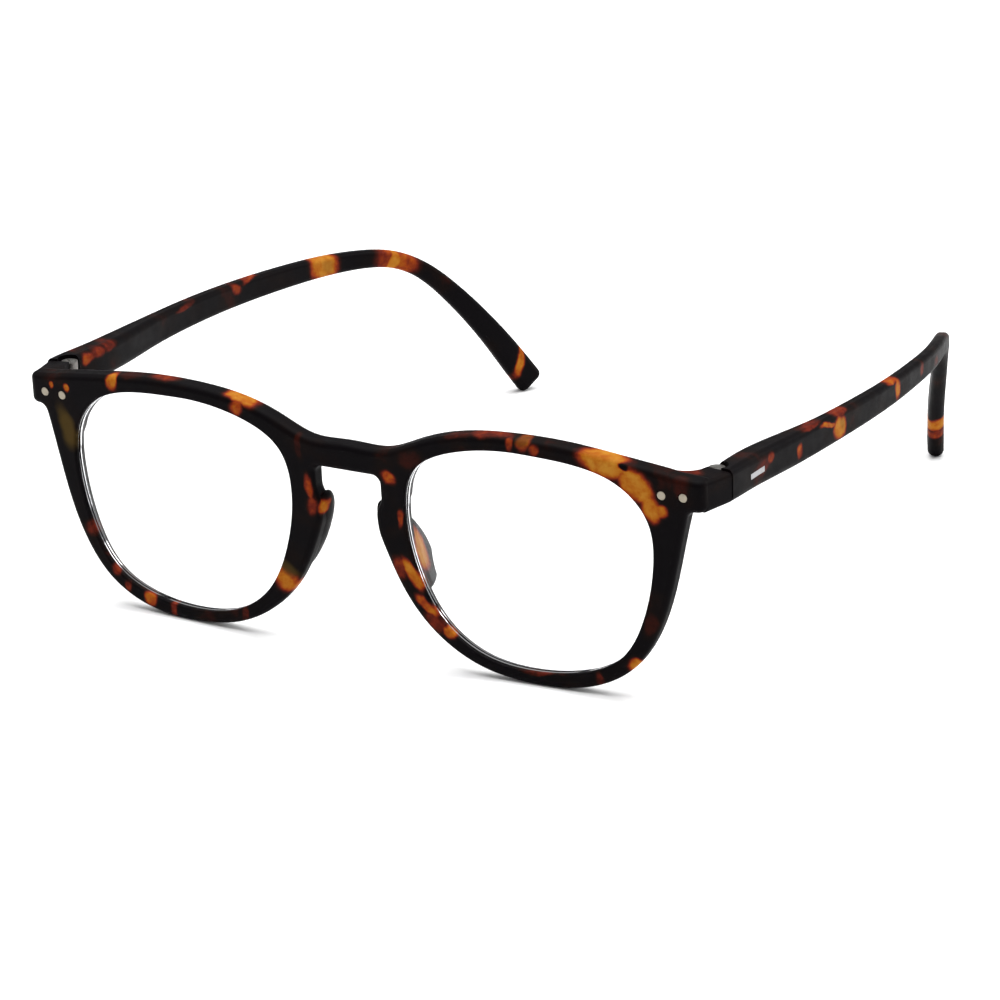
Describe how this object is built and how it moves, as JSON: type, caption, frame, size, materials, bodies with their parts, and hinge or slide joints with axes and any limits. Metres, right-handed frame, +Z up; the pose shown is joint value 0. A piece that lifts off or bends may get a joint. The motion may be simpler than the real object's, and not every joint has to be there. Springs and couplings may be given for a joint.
{
  "type": "folding reading glasses",
  "caption": "Matte tortoiseshell keyhole-bridge reading glasses with clear lenses and folding temples on spring hinges, standing open.",
  "frame": {"origin": "middle of the footprint of the open glasses, on the surface that the rims and temple tips rest on", "axes": "+X is the wearer's left, +Y runs from the front back to the temple tips, so the wearer looks along -Y, and +Z is up"},
  "size_m": [0.1436, 0.1446, 0.0464],
  "materials": {
    "front_tortoiseshell": "matte soft-touch tortoiseshell",
    "temple_tortoiseshell": "matte soft-touch tortoiseshell",
    "lens": "clear polished acrylic with a faint coating tint",
    "rivet": "satin nickel",
    "hinge_metal": "satin nickel-plated steel",
    "screw": "bright nickel",
    "spring_steel": "drawn steel wire",
    "mark": "plain satin silver bar"
  },
  "bodies": {
    "front": {"front_frame": "front_tortoiseshell", "left_lens": "lens", "right_lens": "lens", "left_inner_rivet": "rivet", "left_outer_rivet": "rivet", "right_inner_rivet": "rivet", "right_outer_rivet": "rivet", "left_front_hinge": "hinge_metal", "right_front_hinge": "hinge_metal", "left_hinge_screw": "screw", "right_hinge_screw": "screw"},
    "left_carriage_body": {"left_spring_carriage": "hinge_metal", "left_spring_nut": "hinge_metal"},
    "left_temple_body": {"left_temple": "temple_tortoiseshell", "left_spring_housing": "hinge_metal", "left_return_spring": "spring_steel", "left_temple_mark": "mark"},
    "right_carriage_body": {"right_spring_carriage": "hinge_metal", "right_spring_nut": "hinge_metal"},
    "right_temple_body": {"right_temple": "temple_tortoiseshell", "right_spring_housing": "hinge_metal", "right_return_spring": "spring_steel"}
  },
  "joints": [
    {"name": "left_fold", "type": "hinge", "parent": "front", "child": "left_carriage_body", "pos_m": [0.0672, -0.05865, 0.03984], "axis": [0, 0, 1], "range_deg": [0, 82]},
    {"name": "left_stretch", "type": "slide", "parent": "left_carriage_body", "child": "left_temple_body", "axis": [0, 1, 0], "range_m": [0, 0.0012], "stiffness_N_per_m": 500, "springref_m": -0.006},
    {"name": "right_fold", "type": "hinge", "parent": "front", "child": "right_carriage_body", "pos_m": [-0.0672, -0.05865, 0.03984], "axis": [0, 0, -1], "range_deg": [0, 75]},
    {"name": "right_stretch", "type": "slide", "parent": "right_carriage_body", "child": "right_temple_body", "axis": [0, 1, 0], "range_m": [0, 0.0012], "stiffness_N_per_m": 500, "springref_m": -0.006}
  ]
}
